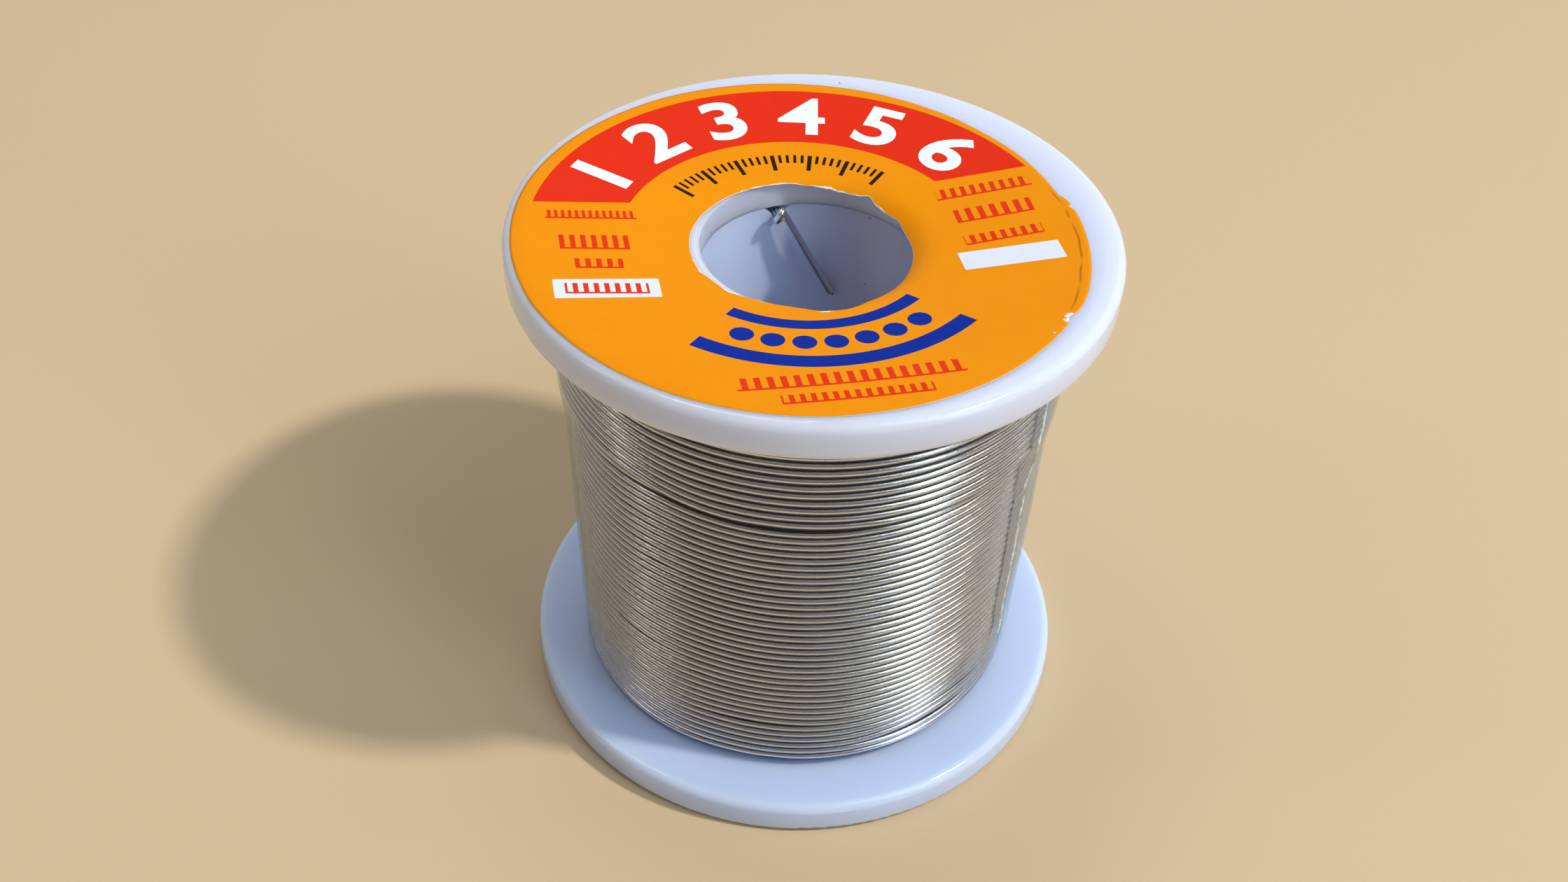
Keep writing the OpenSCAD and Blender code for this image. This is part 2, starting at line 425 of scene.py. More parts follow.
def bare_paper():
    """The label's white paper core, seen at its cut and torn edges."""
    s = Shader("label_paper_core")
    fibre = s.grain(4000, 3)
    return s.finish(s.body(
        Base_Color=s.mix(fibre, rgb(214, 206, 190), rgb(244, 241, 234)),
        Roughness=0.85,
        Normal=s.bumps(fibre, 0.00002),
    ))


def white_ink():
    """The thick white print of the dial's numbers."""
    s = Shader("white_print")
    return s.finish(s.body(
        Base_Color=s.mix(s.grain(900, 3), rgb(232, 238, 248), rgb(244, 248, 254)),
        Roughness=s.grain(500, 2).scaled(0.3, 0.7, 0.34, 0.44),
    ))


# The print's rings, as distances from the label's centre: the red dial band, the ticks
# of its scale, each fifth tick, and the blue arcs with the row of dots between them
DIAL_BAND = (16.35, 24.6)
TICK_R, LONG_TICK_R = (13.1, 14.3), (12.0, 14.3)
ARCS_R = [(11.9, 13.3), (17.5, 19.2)]
DOTS_R, DOT_SIZE = 15.4, 1.05
# How far they reach to either side of the print's middle line, in degrees
SCALE_REACH, ARCS_REACH, DOTS_REACH = 46, 40, 35
TICK_STEP, LONG_TICK_STEP, DOT_STEP = 3, 15, 10
DIAL_CUT_V = 7.45     # the dial band's straight ends, above the label's middle
INK_EDGE = 0.06
# White fields in the print's own axes: middle across, middle up, slope, half its sides
FIELDS = [(-18.1, -5.58, -0.02, 4.57, 1.42), (18.15, -4.51, 0.07, 4.55, 1.4)]
# Graduated rows in the print's own axes: middle across, middle up, width, height, pitch
ROWS = [
    (-18.4, 5.5, 8.2, 1.3, 0.62), (-18.5, 1.2, 6.2, 2.2, 0.95), (-18.4, -2.1, 4.2, 1.5, 0.95),
    (18.6, 5.2, 9.1, 1.6, 0.95), (18.6, 1.5, 7.3, 2.1, 1.15), (18.4, -2.4, 7.3, 1.5, 0.95),
    (-18.1, -5.95, 7.2, 1.6, 0.9), (0.0, -20.9, 19.0, 1.8, 1.1), (0.0, -23.4, 12.5, 1.3, 0.9),
]
# Spots where the coat is lost from the paper: direction, distance out, size
BARE_SPOTS = [(-26.6, 25.8, 0.45), (-28.2, 25.7, 0.25), (-33.0, 25.6, 0.11), (12.4, 25.45, 0.12)]


def strokes(along_row, pitch, width):
    """1 on strokes of that width, one to each pitch."""
    return 1 - ((along_row / pitch).maths("PINGPONG", 0.5) * pitch).above(width / 2, INK_EDGE)


def dial_scale(r, turn):
    """The fine scale inside the dial band: r outwards, turn degrees from the middle line."""
    degree = r * (math.pi / 180)
    short = strokes(turn * degree, degree * TICK_STEP, 0.3) * r.between(*TICK_R, INK_EDGE)
    long = strokes(turn * degree, degree * LONG_TICK_STEP, 0.42) * r.between(*LONG_TICK_R, INK_EDGE)
    return short.most(long) * turn.within(SCALE_REACH, 0.2)


def arcs_and_dots(r, turn):
    """Two arcs with a row of dots between them, on the label's near side."""
    inner_arc, outer_arc = [r.between(*arc, INK_EDGE) for arc in ARCS_R]
    arcs = inner_arc.most(outer_arc) * turn.within(ARCS_REACH, 0.3)
    aside = (turn / DOT_STEP).maths("PINGPONG", 0.5) * DOT_STEP * (r * (math.pi / 180))
    dot = (aside * aside + (r - DOTS_R) * (r - DOTS_R)) ** 0.5
    return arcs.most((1 - dot.above(DOT_SIZE, INK_EDGE)) * turn.within(DOTS_REACH, 0.3))


def white_fields(u, v):
    """The two blank fields, a little out of square with the print."""
    white = None
    for mid_u, mid_v, slope, half_wide, half_high in FIELDS:
        field = (u - mid_u).between(-half_wide, half_wide, INK_EDGE)
        field = field * (v + u * slope - mid_v).between(-half_high, half_high, INK_EDGE)
        white = field if white is None else white.most(field)
    return white


def graduated_rows(u, v):
    """Rows of fine strokes on a base line, where small print would be."""
    rows = None
    for mid_u, mid_v, wide, high, pitch in ROWS:
        across, up = u - mid_u, v - mid_v
        row = strokes(across, pitch, pitch * 0.5).most(1 - (up + high / 2).above(0.26, INK_EDGE))
        row = row * across.between(-wide / 2, wide / 2, INK_EDGE)
        row = row * up.between(-high / 2, high / 2, INK_EDGE)
        rows = row if rows is None else rows.most(row)
    return rows


def printed_label():
    """Orange coated paper with a red dial band, white fields and blue and red ornament."""
    s = Shader("printed_label")
    x, y, _ = s.axes(s.place())
    x, y = x / MM - LABEL_X, y / MM - LABEL_Y
    r = (x * x + y * y) ** 0.5
    angle = y.maths("ARCTAN2", x) * (180 / math.pi)
    # the print's own axes: across and up
    c, i = math.cos(math.radians(PRINT_TURN)), math.sin(math.radians(PRINT_TURN))
    u, v = x * c + y * i, y * c - x * i
    tone = s.mix(s.grain(130, 3), rgb(232, 138, 0), rgb(239, 147, 0))
    # the red band lies over the far side and is cut straight at its ends
    band = r.between(*DIAL_BAND, INK_EDGE) * v.above(DIAL_CUT_V, INK_EDGE)
    tone = s.mix(band, tone, rgb(224, 44, 14))
    tone = s.mix(dial_scale(r, angle - (90 + PRINT_TURN)), tone, rgb(34, 24, 18))
    tone = s.mix(arcs_and_dots(r, angle + (90 - PRINT_TURN)), tone, rgb(2, 40, 146))
    tone = s.mix(white_fields(u, v), tone, rgb(222, 228, 240))
    tone = s.mix(graduated_rows(u, v), tone, rgb(222, 52, 12))
    # painted shade along the rim's creased line on the right, where the edge lifts, and spots where the
    # coat is gone
    fold_and_painted_shade = r + angle * 0.018 - 24.95 + s.grain(260, 2) * 0.5 - 0.25
    fold_and_painted_shade = fold_and_painted_shade.within(0.1, 0.14) * angle.between(-24, 19, 6) * s.grain(420, 2).above(0.42, 0.2)
    tone = s.mix(fold_and_painted_shade * 0.5, tone, rgb(158, 84, 8))
    ragged = s.grain(2200, 3, 0.7) * 1.6 - 0.8
    for spot_angle, spot_r, size in BARE_SPOTS:
        spot = polar(spot_r, spot_angle, 0)
        far = ((x - spot.x) * (x - spot.x) + (y - spot.y) * (y - spot.y)) ** 0.5
        tone = s.mix(1 - (far + ragged * size).above(size, size * 0.3), tone, rgb(232, 224, 212))
    tone = s.mix(s.specks(260, 0.02), tone, rgb(96, 60, 30))
    crease = s.grain(160, 3, 0.6, warp=0.6)
    return s.finish(s.body(
        Base_Color=tone,
        Roughness=s.grain(400, 3).scaled(0.3, 0.7, 0.32, 0.44),
        Normal=s.bumps(crease - fold_and_painted_shade * 0.4 + s.grain(1200, 2) * 0.12, 0.00014),
        Specular_IOR_Level=0.06,
    ))


def clear_film():
    """Thin clear wrap: see-through, with gloss that grows towards its edges."""
    s = Shader("clear_wrap")
    crease = s.grain(1.0, 3, 0.6, (120, 120, 30), warp=0.5)
    # the film is printed by the turns below it where it lies tight
    height = s.axes(s.place())[2] / MM
    printed = (height / PITCH).maths("PINGPONG", 0.5) * s.grain(220, 3, 0.6).above(0.52, 0.2)
    normal = s.bumps(crease + printed * 0.12, 0.0008)
    grazing = s.node("LayerWeight", {}, {"Blend": 0.5, "Normal": normal}, out="Facing")
    gloss = 0.02 + grazing ** 5 * 0.26
    haze = crease.above(0.66, 0.1) * 0.02
    clear = s.node("BsdfTransparent", {}, {"Color": (0.97, 0.98, 0.98, 1)})
    # the veil's pale colour is partly the film's own haze and partly painted reflection: it is tinted blue
    # to stand in for the cool light the film reflects
    sheen = s.body(
        Base_Color=s.mix(haze * 30, rgb(178, 192, 210), rgb(206, 216, 228)),
        Roughness=0.08, Normal=normal, IOR=1.5,
    )
    mixed = s.node(
        "MixShader", {}, {0: (gloss + haze).least(1.0), 1: clear, 2: sheen}
    )
    return s.finish(mixed)


def creased_film():
    """The wrap's white, sparkling fold, where the film is doubled and crushed."""
    s = Shader("creased_wrap")
    crush = s.grain(1.0, 2, 0.6, (900, 900, 500))
    normal = s.bumps(crush, 0.0006)
    clear = s.node("BsdfTransparent", {}, {"Color": (0.97, 0.98, 0.975, 1)})
    bright = s.body(Base_Color=rgb(222, 230, 226), Roughness=0.15, Normal=normal, IOR=1.5)
    shown = crush.above(0.46, 0.16) * 0.62 + 0.16
    return s.finish(s.node("MixShader", {}, {0: shown, 1: clear, 2: bright}))


# the last colour given to the upper flange and to the barrel is their bore's painted light and shade:
# painted lighter on the flange's right-hand bore ring, painted darker and warmer on the barrel's
# right-hand wall
plastic = milky_plastic(
    "upper_polypropylene", rgb(211, 217, 249), rgb(216, 222, 252), 0.9, 0.004, rgb(250, 236, 234)
)
low_plastic = milky_plastic("lower_polypropylene", rgb(198, 213, 252), rgb(204, 218, 254), 0.8, 0.003)
barrel_plastic = milky_plastic(
    "barrel_polypropylene", rgb(207, 221, 255), rgb(212, 226, 255), 0.45, 0.003, rgb(188, 182, 192)
)
full_solder = solder("drawn_solder", 1.0, lambda z: layer_r(LAYERS, z) + WIRE_R)
band_solder = solder("band_solder", 1.0, lambda z: layer_r(LAYERS + 1, z) + WIRE_R)
loose_solder = solder("loose_solder", 0.04)
# the inner layers lie below the winding's outer face, so the grooves' painted shade paints them dark all
# over, for the dark gaps between the outer turns
packed_solder = solder("packed_solder", 0.6, lambda z: layer_r(LAYERS, z) + WIRE_R)
flux = rosin()
paper = bare_paper()
ink = white_ink()
print_face = printed_label()
wrap = clear_film()
wrap_fold = creased_film()


# ============================================================== camera
IMAGE_W = 2240
SENSOR_W = 36
FOCAL_PX = 2294.781
TILT, ROLL = math.radians(41.569), math.radians(2.449)
EYE = (-1.96, -121.49, 134.62)


def place_camera():
    """The camera above the reel's near side, looking down and turned a little."""
    ahead = Vector((0, math.cos(TILT), -math.sin(TILT)))
    right = Vector((1, 0, 0))
    down = Vector((0, -math.sin(TILT), -math.cos(TILT)))
    c, s = math.cos(ROLL), math.sin(ROLL)
    right, down = c * right - s * down, s * right + c * down
    data = bpy.data.cameras.new("camera")
    data.sensor_width = SENSOR_W
    data.lens = SENSOR_W * FOCAL_PX / IMAGE_W
    data.clip_start, data.clip_end = 0.005, 20
    made = placed("camera", data)
    turn = Matrix((right, -down, -ahead)).transposed()
    made.matrix_world = Matrix.Translation(Vector(EYE) * MM) @ turn.to_4x4()
    bpy.context.scene.camera = made


place_camera()

# ============================================================== the wound wire
STEPS = 150                    # rings of points to a turn
SIDES = 10                     # points round the wire
CROSSING = 34                  # degrees over which a turn steps to the next place
CLIMB_ON, CLIMB_OUT = 40, 45   # degrees over which it climbs into and out of the layer
KINKS_PER_TURN = 7
KINK_WIDTH = (4, 13)           # degrees
KINK_ASIDE = (-0.045, 0.045)
KINK_OUT = (-0.03, 0.05)

# Places where two turns stand apart: turn above the gap, middle, width, opening.
# The turns above are pushed up, or those below are pushed down where it is negative.
GAPS = [
    (2, -50, 54, 0.55), (4, -42, 44, 0.5), (6, -98, 40, 0.2), (9, -20, 60, 0.14),
    (14, -140, 50, 0.16), (22, -75, 40, 0.1), (30, -30, 50, 0.1), (27, 150, 60, 0.14),
    (8, 100, 80, 0.2), (37.0, -96, 124, -0.34),
]
PUSHED_TURNS = 12     # turns over which a gap's push dies out


def spread(k, angle):
    """How far turn k is pushed up at an angle by the gaps below it."""
    out = 0.0
    for first, middle, width, opening in GAPS:
        pushed = k >= first if opening > 0 else k < first
        if pushed:
            share = max(0.0, 1 - abs(k - first) / PUSHED_TURNS) ** 2
            out += opening * share * bump(apart(angle, middle), 0, width)
    return out


def crossing_place(z):
    """Direction in which turns near height z step over: a row that slants more high up."""
    if z > 37.5:
        return -126 - 2.3 * (z - 41) / PITCH
    return -133 - 0.5 * (z - 31)


def kinks(seed, count, turns):
    """Small bends strewn along the wire: (place in turns, width, sideways, outward)."""
    draw = random.Random(seed)
    return [
        (draw.uniform(0, turns), draw.uniform(*KINK_WIDTH),
         draw.uniform(*KINK_ASIDE), draw.uniform(*KINK_OUT))
        for _ in range(count)
    ]


def winding_route(turns, height, radius, start, seed):
    """Ring centres (radius, degrees, height) of wire wound turn beside turn."""
    by_turn = {}
    for bend in kinks(seed, int(turns * KINKS_PER_TURN), turns):
        by_turn.setdefault(int(bend[0]), []).append(bend)
    out = []
    total = int(round(turns * STEPS))
    for n in range(total + 1):
        at = n / STEPS
        angle = start + 360 * at
        k = int(at)
        place = (crossing_place(height(k)) - start) % 360
        inside = 360 * (at - k) - place
        share = 0.25 * (at - k) + 0.75 * smooth(inside / CROSSING + 0.5)
        wraps = k + share
        z = height(wraps) + 0.02 * noise.noise(Vector((at * 2.1, seed, 0.3)))
        r = radius(z) + 0.035 * noise.noise(Vector((at * 3.7, 5.1, seed)))
        # a turn that steps over rides up a little on the one below
        r += 0.07 * bump(inside, 0, CROSSING * 1.3)
        for m in (k - 1, k, k + 1):
            for place_k, width, aside, outward in by_turn.get(m, ()):
                near = bump(360 * (at - place_k), 0, width)
                z += aside * near
                r += outward * near
        out.append((r, angle, z))
    return out


def wound_tube(name, route, materials):
    """The wire's mesh along a winding route, closed by a cut end at each end."""
    points = []

    def ring(r, angle, z, wire_r):
        c, s = math.cos(math.radians(angle)), math.sin(math.radians(angle))
        for i in range(SIDES):
            t = 2 * math.pi * i / SIDES
            rr = r + wire_r * math.cos(t)
            points.append((rr * c, rr * s, z + wire_r * math.sin(t)))

    for place in route:
        ring(*place, WIRE_R)
    faces = flipped(grid(0, len(route), SIDES))
    slots = [0] * len(faces)
    for end, way in ((0, 1), (len(route) - 1, -1)):
        core = len(points)
        ring(*route[end], CORE_R)
        cap = strip(end * SIDES, core, SIDES) + [tuple(range(core, core + SIDES))]
        faces += cap if way > 0 else flipped(cap)
        slots += [0] * SIDES + [1]
    return piece(name, points, faces, materials, slots, flat=(1,))


def outer_layer():
    """The outermost full layer, wound upwards from the lower flange."""
    route = winding_route(
        TURNS - 1, turn_z, lambda z: layer_r(LAYERS, z), crossing_place(5) - 200, seed=1.7
    )
    out = []
    for n, (r, angle, z) in enumerate(route):
        at = n / STEPS
        z += spread(at - 0.5, angle)
        # the first part of the layer rises out of the one below it
        r -= (LAYER_STEP + 0.1) * (1 - smooth(at * 360 / CLIMB_ON))
        # the last part climbs into the band's place
        r += LAYER_STEP * smooth((at - TURNS + 1) * 360 / CLIMB_OUT + 1)
        out.append((r, angle, min(HIGHEST_TURN_Z, max(LOWEST_TURN_Z, z))))
    made = wound_tube("wire_outer_layer", out, [full_solder, flux])
    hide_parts("wire_layer_15")


def proud_band():
    """The last dozen turns, wound back down over the top of the full layer."""
    turns = BAND_TURNS - 1 + BAND_LAST_TURN / 360
    start = BAND_END - 360 * turns
    route = winding_route(
        turns, lambda k: band_z(1 + k), lambda z: layer_r(LAYERS + 1, z), start, seed=4.2
    )
    out = []
    for n, (r, angle, z) in enumerate(route):
        at = n / STEPS
        r -= (LAYER_STEP * 0.9) * (1 - smooth(at * 360 / CLIMB_OUT))
        out.append((r, angle, min(BAND_TOP_Z, z)))
    made = wound_tube("wire_proud_band", out, [band_solder, flux])
    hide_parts("wire_top_band")


outer_layer()
proud_band()


# ============================================================== the barrel
def barrel_wall():
    """The barrel with its bore brought flush with the flanges' bores."""
    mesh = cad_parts["hub_barrel"].data.copy()
    for v in mesh.vertices:
        r = math.hypot(v.co.x, v.co.y)
        if abs(r - BARREL_BORE_R * MM) < 0.05 * MM:
            v.co.x *= BORE_R * MM / r
            v.co.y *= BORE_R * MM / r
    mesh.name = "barrel_wall"
    mesh.materials.clear()
    mesh.materials.append(barrel_plastic.material)
    mesh.polygons.foreach_set("material_index", [0] * len(mesh.polygons))
    made = placed("barrel_wall", mesh)
    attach(made, BODY)
    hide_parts("hub_barrel")


barrel_wall()

# ============================================================== the start of the wire
NOTCH_ANGLE = 110
TAIL_WALL_R = 10.02
TAIL_SEAT_Z = 47.73
TAIL_SIDES = 18
TIP_ASIDE, TIP_UP = 5.6, -9.2     # the cut end, from the notch
# The curl in the notch, in wire diameters: aside along the wall, inwards, up
CURL = [
    (0, 0, -0.1), (-0.4, 0.5, -0.35), (-0.55, 1.0, -0.05), (-0.38, 1.3, 0.6),
    (-0.05, 1.2, 1.05), (0.35, 0.95, 0.75),
]


def wall_point(aside, inward, up):
    """A point by its place along the bore's wall, inwards from it and above the seat."""
    r = TAIL_WALL_R - inward
    return polar(r, NOTCH_ANGLE - math.degrees(aside / TAIL_WALL_R), TAIL_SEAT_Z + up)


def wire_start():
    """The first end of the wire: through the notch, round a curl and down the bore."""
    d = 2 * WIRE_R
    foot = wall_point(*(c * d for c in CURL[-1]))
    tip = wall_point(TIP_ASIDE, 0, TIP_UP)
    through = (BARREL_R, (BARREL_R + BARREL_BORE_R) / 2, BARREL_BORE_R)
    stops = [wall_point(0, TAIL_WALL_R - r, 0) for r in through]
    stops += [wall_point(a * d, b * d, c * d) for a, b, c in CURL]
    stops += [foot + t * (tip - foot) for t in (0.25, 0.5, 0.75, 1)]
    framed = frames_along(smooth_route(stops, 10))
    last = len(framed) - 1
    rings = [(n, WIRE_R, 0.0) for n in range(last)]
    # the cut end: a small bevel, a flat ring and a short socket round the flux
    socket_r = CORE_R + 0.02
    rings += [(last, WIRE_R, 0.06), (last, WIRE_R - 0.05, 0.0), (last, socket_r, 0.0),
              (last, socket_r, 0.5)]
    points = []
    for at, radius, back in rings:
        p, side, up = framed[at]
        if back:
            p = p - (p - framed[at - 1][0]).normalized() * back
        for i in range(TAIL_SIDES):
            t = 2 * math.pi * i / TAIL_SIDES
            points.append(p + radius * (math.cos(t) * side + math.sin(t) * up))
    faces = grid(0, len(rings), TAIL_SIDES)
    faces.append(tuple(reversed(range(TAIL_SIDES))))
    faces.append(tuple(range(len(points) - TAIL_SIDES, len(points))))
    made = piece("wire_start", points, faces, [loose_solder])
    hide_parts("wire_start_tail")


wire_start()

# ============================================================== the label
# Distance of the label's edges from its centre, by direction in degrees
HOLE_EDGE = [
    (-174, 10.05), (-166, 10.08), (-153, 10.07), (-142, 10.02), (-132, 10.01), (-124, 9.91),
    (-117, 9.8), (-111, 9.54), (-106, 9.64), (-101, 9.57), (-96, 9.52), (-92, 9.64),
    (-87, 9.82), (-83, 10.15), (-78, 10.42), (-67, 10.62), (-61, 10.53), (-53, 10.19),
    (-45, 10.28), (-34, 10.32), (-21, 10.27), (-7, 10.29), (7, 10.31), (16, 10.28),
    (23, 10.33), (31, 10.5), (41, 10.31), (48, 10.45), (54.6, 10.81), (59, 10.5),
    (65, 10.36), (70, 10.23), (75, 10.28), (80, 10.23), (85, 10.27), (89, 10.15),
    (94, 10.29), (99, 10.25), (104, 10.19), (109, 10.13), (116, 10.07), (123, 9.99),
    (131, 9.94), (141, 9.88), (152, 9.85), (165, 9.92), (179, 10.03),
]
OUTER_EDGE = [
    (-175, 25.94), (-161, 25.91), (-149, 25.94), (-138, 25.9), (-129, 25.92), (-122, 25.97),
    (-110, 26.05), (-101, 26.12), (-92, 26.17), (-84, 26.2), (-76, 26.16), (-65, 26.14),
    (-50, 26.08), (-41, 26.0), (-30, 26.05), (-28.2, 25.95), (-26.8, 25.66), (-25.4, 26.05),
    (-23.3, 26.22), (-18, 26.22), (-12.8, 26.1), (-8, 25.98), (0, 25.82), (8, 25.7),
    (11, 25.62), (12.3, 25.42), (13.6, 25.58), (15.4, 25.45), (17.2, 25.1), (21, 25.03),
    (27, 25.08), (34, 25.2), (46, 25.22), (54, 25.38), (62, 25.48), (74, 25.71),
    (85, 25.8), (96, 25.91), (113, 25.95), (136, 25.94), (158, 26.0), (171, 26.0),
]
TORN = [(-160, -70), (40, 125)]   # stretches where the hole's edge is torn
LIP_R = BORE_EDGE_R + 0.09        # inside this the label bends down over the bore
LIP_SAG = 0.16
LABEL_SEAT = 0.006                # the label's underside above the flange's face
RIM_CREASE_R = 24.6               # outside this the label's right edge lifts
LABEL_COLUMNS = 480
# Shares of the way from the hole's edge to the outer edge, close together at both
LABEL_ROWS = [0, 0.0015, 0.003, 0.005, 0.008, 0.013, 0.03, 0.05, 0.08, 0.11] + [
    0.15 + 0.85 * n / 24 for n in range(24)
] + [0.985, 1.0]


def label_height(x, y):
    """Height of the label's underside: on the dished face, bent down over the bore."""
    r = math.hypot(x, y)
    over = max(0.0, LIP_R - r)
    return face_z(max(r, LIP_R)) - LIP_SAG * over - LIP_SAG * over * over + LABEL_SEAT


def is_torn(angle):
    """Whether the hole's edge is torn in this direction."""
    return any(a <= angle <= b for a, b in TORN)


def face_label():
    """The printed label: a thin skin with a ragged hole and a slightly creased rim."""
    columns, rows = LABEL_COLUMNS, len(LABEL_ROWS)
    directions = [-180 + 360 * c / columns for c in range(columns)]
    points = []
    for top in (1, 0):
        for share in LABEL_ROWS:
            for angle in directions:
                ragged = 0.0
                if is_torn(angle):
                    ragged = 0.05 * noise.noise(Vector((angle * 0.3, 1.3, 0.7)))
                inner = along(HOLE_EDGE, angle) + ragged
                inner += 0.03 * noise.noise(Vector((angle * 0.2, 9.3, 0.1)))
                outer = along(OUTER_EDGE, angle) + 0.03 * noise.noise(Vector((angle * 0.15, 2.2, 4.1)))
                r = inner + (outer - inner) * share
                x = LABEL_X + r * math.cos(math.radians(angle))
                y = LABEL_Y + r * math.sin(math.radians(angle))
                z = label_height(x, y)
                # the right edge lifts a little outside its crease
                z += 0.05 * smooth((r - RIM_CREASE_R) / 1.2) * bump(apart(angle, -2), 0, 80)
                lift = LABEL_T if top else 0.0
                if top and share in (0, 1.0):
                    lift = LABEL_T * 0.75
                points.append((x, y, min(LABEL_TOP_Z, z + lift)))
    half = rows * columns
    rim = half - columns
    faces = grid(0, rows, columns) + flipped(grid(half, rows, columns))
    faces += strip(half, 0, columns) + strip(rim, half + rim, columns)
    slots = [0] * rim + [1] * (rim + 2 * columns)
    # the torn lip: the coated face is lost over the first sliver of paper
    for row in range(5):
        for c, angle in enumerate(directions):
            deep = 1.5 + 6.0 * noise.noise(Vector((angle * 0.16, 0.4, 3.3))) if is_torn(angle) else 0.6
            if row < deep:
                slots[row * columns + c] = 1
    made = piece("face_label_skin", points, flipped(faces), [print_face, paper], slots)
    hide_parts("face_label")


face_label()

NUMBERS = 6
NUMBER_SIZE, NUMBER_WIDE, NUMBER_HIGH = 8.3, 1.15, 0.98
NUMBER_R = 20.5       # the numbers' middles, from the label's centre
FIRST_NUMBER, NUMBER_STEP = 157, 22
INK_T = 0.012


def dial_numbers():
    """Plain white numbers 1 to 6 on the red band."""
    for n in range(NUMBERS):
        a = math.radians(FIRST_NUMBER - NUMBER_STEP * n)
        curve = bpy.data.curves.new(f"dial_number_{n + 1}", "FONT")
        curve.body = str(n + 1)
        curve.size = NUMBER_SIZE
        curve.align_x = "CENTER"
        curve.align_y = "CENTER"
        curve.extrude = INK_T
        # the 4 closes up where its strokes are made any bolder
        curve.offset = 0.12 if n == 3 else 0.2
        curve.resolution_u = 6
        text = placed(curve.name + "_text", curve)
        bpy.context.view_layer.update()
        mesh = bpy.data.meshes.new_from_object(text)
        bpy.data.objects.remove(text)
        xs = [v.co.x for v in mesh.vertices]
        ys = [v.co.y for v in mesh.vertices]
        mid = Vector(((min(xs) + max(xs)) / 2, (min(ys) + max(ys)) / 2, 0))
        for v in mesh.vertices:
            p = v.co - mid
            u, w = p.x * NUMBER_WIDE, p.y * NUMBER_HIGH + NUMBER_R
            x = LABEL_X + w * math.cos(a) + u * math.sin(a)
            y = LABEL_Y + w * math.sin(a) - u * math.cos(a)
            v.co = Vector((x, y, label_height(x, y) + LABEL_T + INK_T + p.z)) * MM
        mesh.materials.append(ink.material)
        made = placed(f"dial_number_{n + 1}", mesh)
        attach(made, BODY)


dial_numbers()

# ============================================================== the clear wrap
WRAP_END = -27        # direction of the free end
WRAP_OVERLAP = 26     # degrees
WRAP_SPAN = 360 + WRAP_OVERLAP
WRAP_T = 0.06
WRAP_FOOT_Z, WRAP_TOP_Z = 6.1, 49.3
CORNER_RISE = 5.6     # the foot's rise towards the free end's cut corner
FOLD_LOW, FOLD_HIGH = 11.5, 47.5
FOLD_HALF_W, FOLD_HALF_T = 0.34, 0.07
FOLD_OFF = 0.34       # the fold's middle, outside the wrap's inner face
# Where the wrap bends: height, layers past the last full one, distance off the wire.
# It is snug at the foot, stands off below the band, and is snug on the band and above.
WRAP_BENDS = [(5.9, 0, 0.12), (33.53, 0, 0.3), (38.53, 1, 0.12), (49.4, 1, 0.12)]
WRAP_LEVELS = [(z, layer_r(LAYERS + more, z) + WIRE_R + off) for z, more, off in WRAP_BENDS]


def wrap_r(z):
    """Radius of the wrap's inner face at height z."""
    n = sum(z >= level for level, _ in WRAP_LEVELS[1:-1])
    (z0, r0), (z1, r1) = WRAP_LEVELS[n:n + 2]
    return r0 + (r1 - r0) * (z - z0) / (z1 - z0)


def end_slant(z):
    """Degrees by which the wrap's free end leans back at height z."""
    return 0.6 + 2.6 * (z - FOLD_LOW) / (FOLD_HIGH - FOLD_LOW)


def clear_wrap():
    """The film: one turn with its ends overlapped, a wavy foot and a standing edge."""
    columns, rows = 300, 46
    points = []
    for skin in (1, 0):
        for n in range(rows + 1):
            share = n / rows
            for c in range(columns + 1):
                along_wrap = c / columns
                angle = WRAP_END + WRAP_SPAN * (1 - along_wrap)
                a = math.radians(angle)
                foot = WRAP_FOOT_Z + 0.25 * noise.noise(Vector((3 * math.cos(a), 3 * math.sin(a), 7)))
                if along_wrap > 0.5:
                    foot += CORNER_RISE * bump(apart(angle, -25), 0, 16)
                z = foot + (WRAP_TOP_Z - foot) * share
                angle -= end_slant(z) * smooth((along_wrap - 0.85) / 0.15)
                a = math.radians(angle)
                r = wrap_r(z)
                r += 0.10 * (0.5 + 0.5 * noise.noise(Vector((6 * math.cos(a), 6 * math.sin(a), z * 0.06))))
                # the overlapped stretch lies over the other end
                r += 0.14 * smooth((along_wrap - 360 / WRAP_SPAN) * WRAP_SPAN / 6 + 1)
                # it stands off below the band on the right, most of all at its free end
                r += 0.14 * bump(apart(angle, 5), 0, 100) * bump(z, 24, 26)
                r += 0.12 * smooth((along_wrap - 0.99) / 0.01) * bump(z, 24, 36)
                r += WRAP_T * skin
                points.append(polar(r, angle, z))
    wide = columns + 1
    half = wide * (rows + 1)
    faces = grid(0, rows + 1, wide, closed=False) + flipped(grid(half, rows + 1, wide, closed=False))
    for c in range(columns):
        faces.append((c, half + c, half + c + 1, c + 1))
        t = rows * wide + c
        faces.append((t, t + 1, half + t + 1, half + t))
    for n in range(rows):
        a, b = n * wide, (n + 1) * wide
        faces.append((a, b, half + b, half + a))
        a, b = a + columns, b + columns
        faces.append((a, half + a, half + b, b))
    made = piece("clear_wrap_film", points, flipped(faces), [wrap])
    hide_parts("film_wrap")


clear_wrap()


